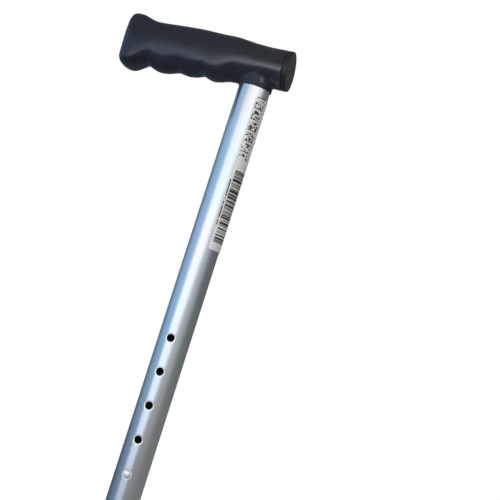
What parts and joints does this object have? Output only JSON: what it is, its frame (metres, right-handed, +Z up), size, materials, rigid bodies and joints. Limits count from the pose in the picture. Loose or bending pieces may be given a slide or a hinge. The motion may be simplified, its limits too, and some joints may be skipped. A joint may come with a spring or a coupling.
{
  "type": "adjustable walking stick",
  "caption": "Height-adjustable walking stick with a contoured plastic grip, telescoping aluminium tubes locked by a snap button, and a rubber foot.",
  "frame": {"origin": "centre of the ferrule's tread, where the stick meets the ground", "axes": "+Z up along the tubes' axis, -X towards the grip's long end, -Y the side with the row of holes"},
  "size_m": [0.133, 0.038, 0.839],
  "materials": {
    "grip_plastic": "dark blue-grey moulded plastic, fine satin",
    "cap_plastic": "near-black moulded plastic, satin",
    "screw_steel": "zinc plated",
    "tube_aluminium": "silver anodised, satin",
    "label_paper": "printed film label, satin",
    "bush_plastic": "black moulded plastic",
    "leg_aluminium": "silver anodised, satin",
    "plug_plastic": "black moulded plastic",
    "button_steel": "nickel plated, bright",
    "spring_steel": "spring steel strip",
    "washer_steel": "plain steel",
    "ferrule_rubber": "matt black rubber"
  },
  "bodies": {
    "upper": {"handle": "grip_plastic", "handle_end_cap": "cap_plastic", "handle_screw": "screw_steel", "outer_tube": "tube_aluminium", "tube_label": "label_paper", "end_bush": "bush_plastic"},
    "leg": {"inner_tube": "leg_aluminium", "inner_tube_plug": "plug_plastic", "button_spring": "spring_steel", "ferrule_washer": "washer_steel", "ferrule": "ferrule_rubber"},
    "button": {"snap_button": "button_steel"}
  },
  "joints": [
    {"name": "height_adjust", "type": "slide", "parent": "upper", "child": "leg", "axis": [0, 0, -1], "range_m": [-0.1016, 0.127], "deforming": ["snap_button", "button_spring"]},
    {"name": "button_press", "type": "slide", "parent": "leg", "child": "button", "axis": [0, 1, 0], "range_m": [0, 0.004], "stiffness_N_per_m": 1500, "springref_m": -0.002, "deforming": ["button_spring"]}
  ]
}
